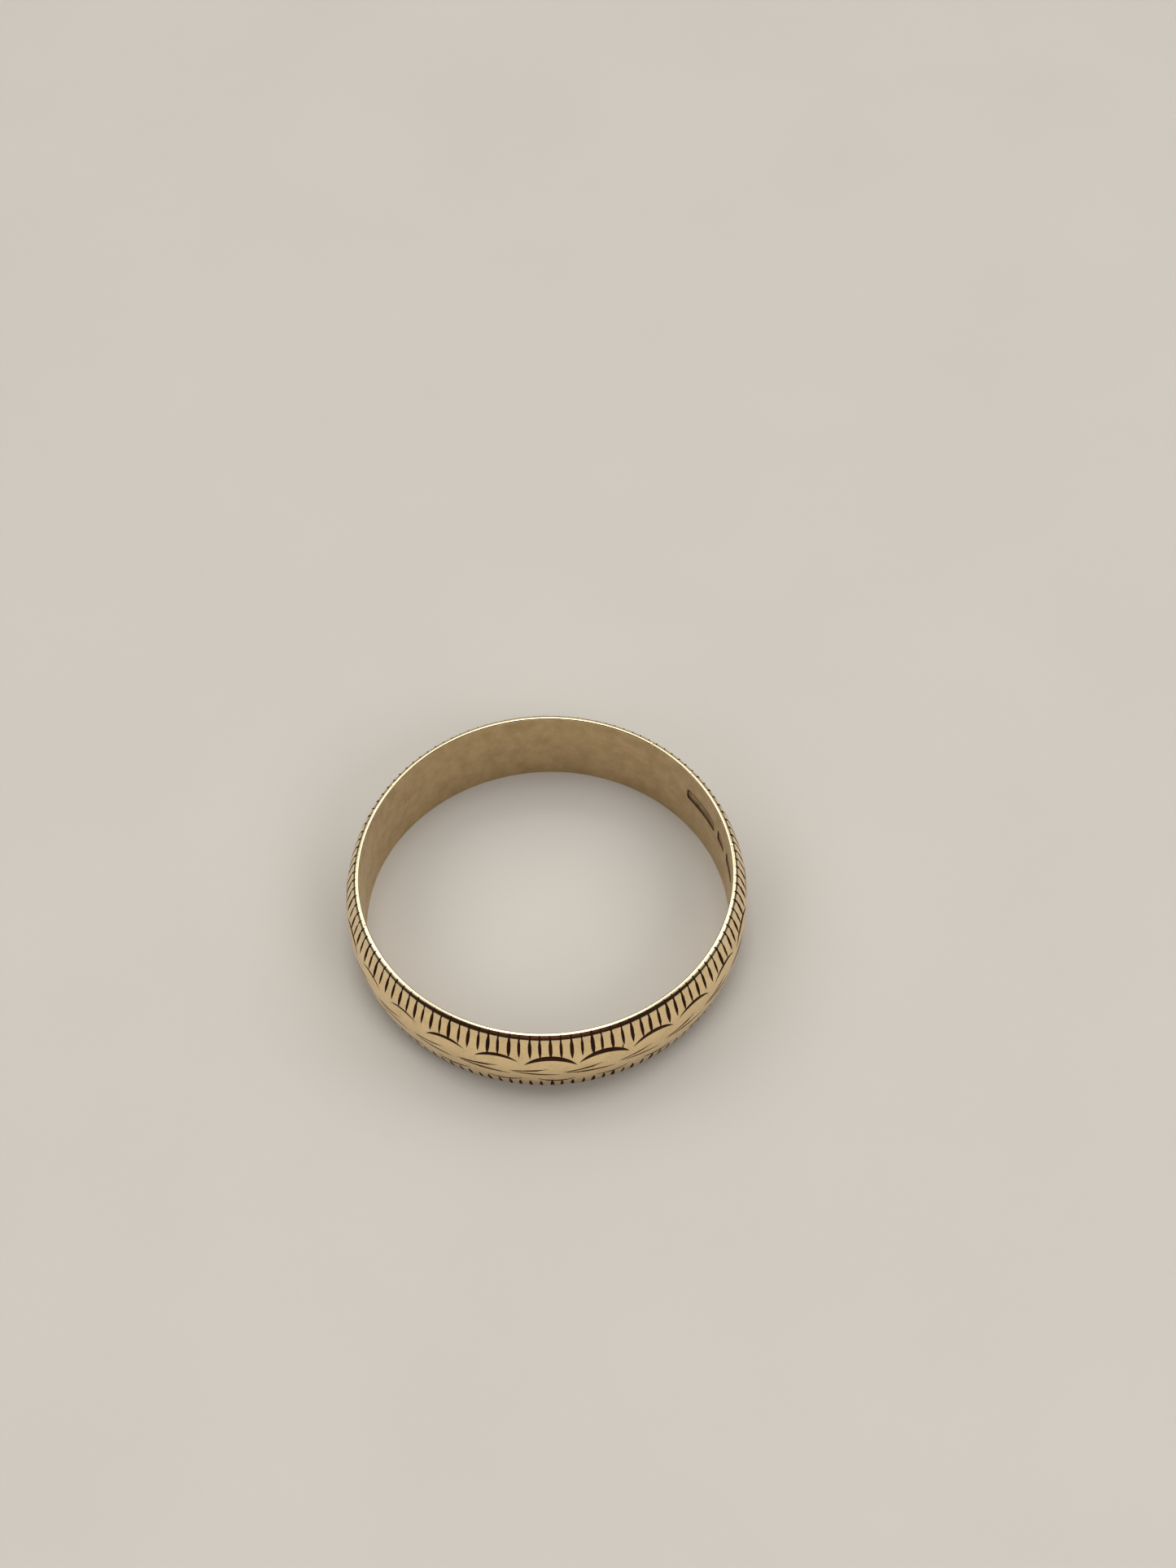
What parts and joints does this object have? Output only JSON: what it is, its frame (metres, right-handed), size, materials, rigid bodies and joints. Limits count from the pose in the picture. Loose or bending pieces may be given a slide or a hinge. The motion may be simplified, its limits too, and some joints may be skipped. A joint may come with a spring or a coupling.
{
  "type": "wedding band",
  "caption": "Plain one-piece finger ring with a domed outside, engraved with edge cuts, scallops and fine strokes, and a smooth round bore.",
  "frame": {"origin": "centre of the finger bore, halfway across the band's width", "axes": "+Z along the ring's axis; the middle of one scallop is at the front, on -Y; the ring lies flat on its lower edge"},
  "size_m": [0.0198, 0.0198, 0.0048],
  "materials": {
    "gold": "polished pale yellow gold, worn, with dark patina in the engraving"
  },
  "bodies": {
    "root": {"band": "gold"}
  },
  "joints": []
}
